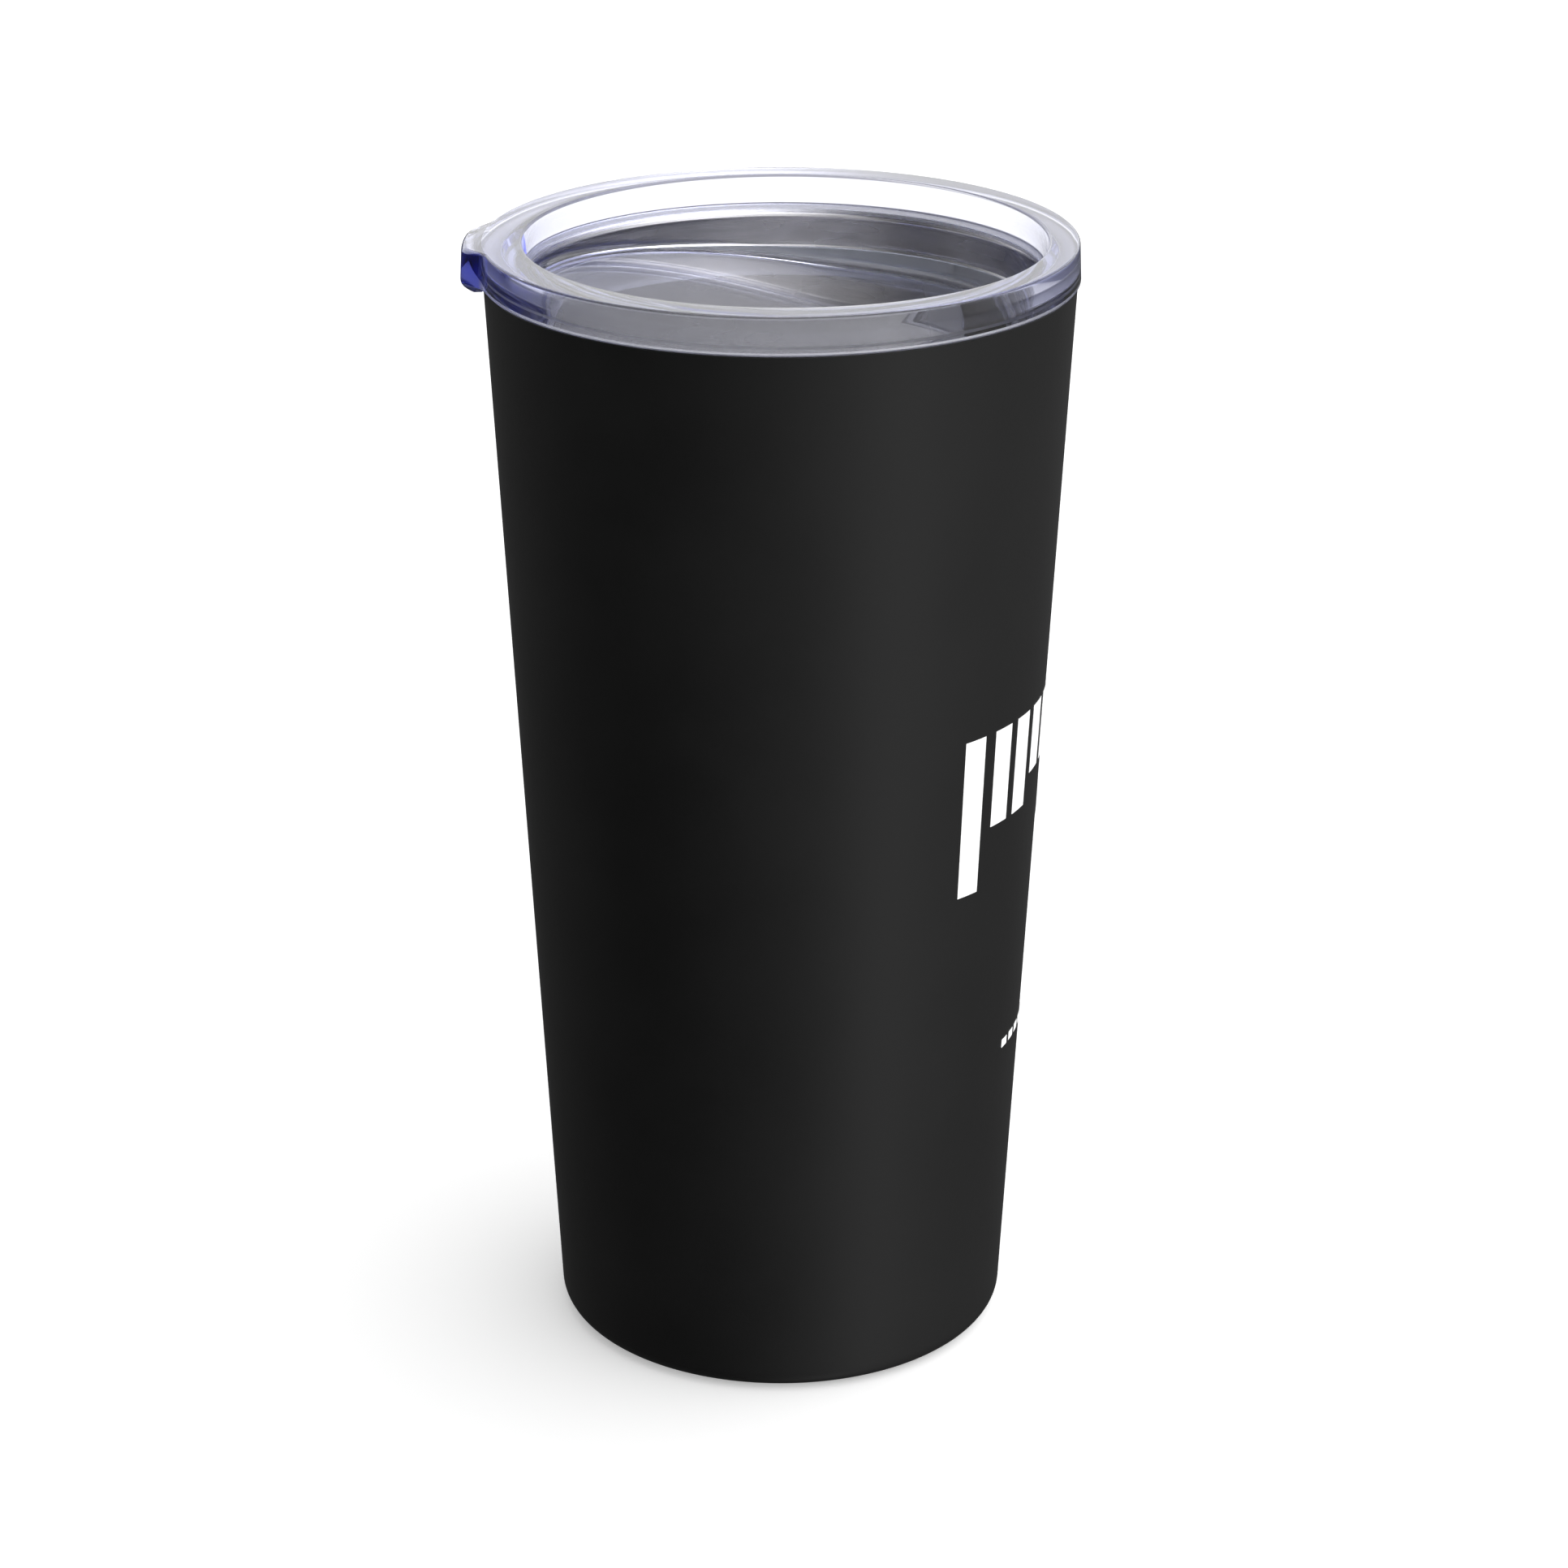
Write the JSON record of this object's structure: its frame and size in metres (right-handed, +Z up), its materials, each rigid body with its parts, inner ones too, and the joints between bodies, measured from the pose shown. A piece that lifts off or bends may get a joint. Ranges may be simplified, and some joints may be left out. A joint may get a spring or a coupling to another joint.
{
  "type": "insulated tumbler with lid",
  "caption": "Tapered double-wall steel tumbler with a satin black coat and a clear press-in lid with a thumb tab, sloped drinking well and drink opening.",
  "frame": {"origin": "centre of the base, on the surface that the tumbler stands on", "axes": "+Z up along the cup's axis; the lid's thumb tab points to -X and its drink opening lies towards +X"},
  "size_m": [0.0917, 0.0888, 0.1743],
  "materials": {
    "black_coat": "satin black powder coat",
    "liner_steel": "bare stainless steel, brushed inside, polished rim",
    "base_steel": "bare stainless steel, spun",
    "copper": "bright copper foil",
    "seal_glass": "solder glass",
    "getter": "sintered, matt",
    "clear_lid": "clear, polished, faint blue tint",
    "silicone": "translucent silicone",
    "print_white": "white printed decoration"
  },
  "bodies": {
    "cup": {"outer_shell": "black_coat", "inner_liner": "liner_steel", "outer_base": "base_steel", "base_cover": "base_steel", "seal_bead": "seal_glass", "copper_foil": "copper", "getter_pill": "getter", "getter_strap": "base_steel"},
    "seal": {"lid_gasket": "silicone"},
    "lid": {"lid_body": "clear_lid"}
  },
  "joints": [
    {"name": "lid_lift", "type": "slide", "parent": "cup", "child": "seal", "axis": [0, 0, 1], "range_m": [0, 0.06]},
    {"name": "lid_turn", "type": "hinge", "parent": "seal", "child": "lid", "pos_m": [0, 0, 0.168], "axis": [0, 0, 1], "continuous": true}
  ]
}
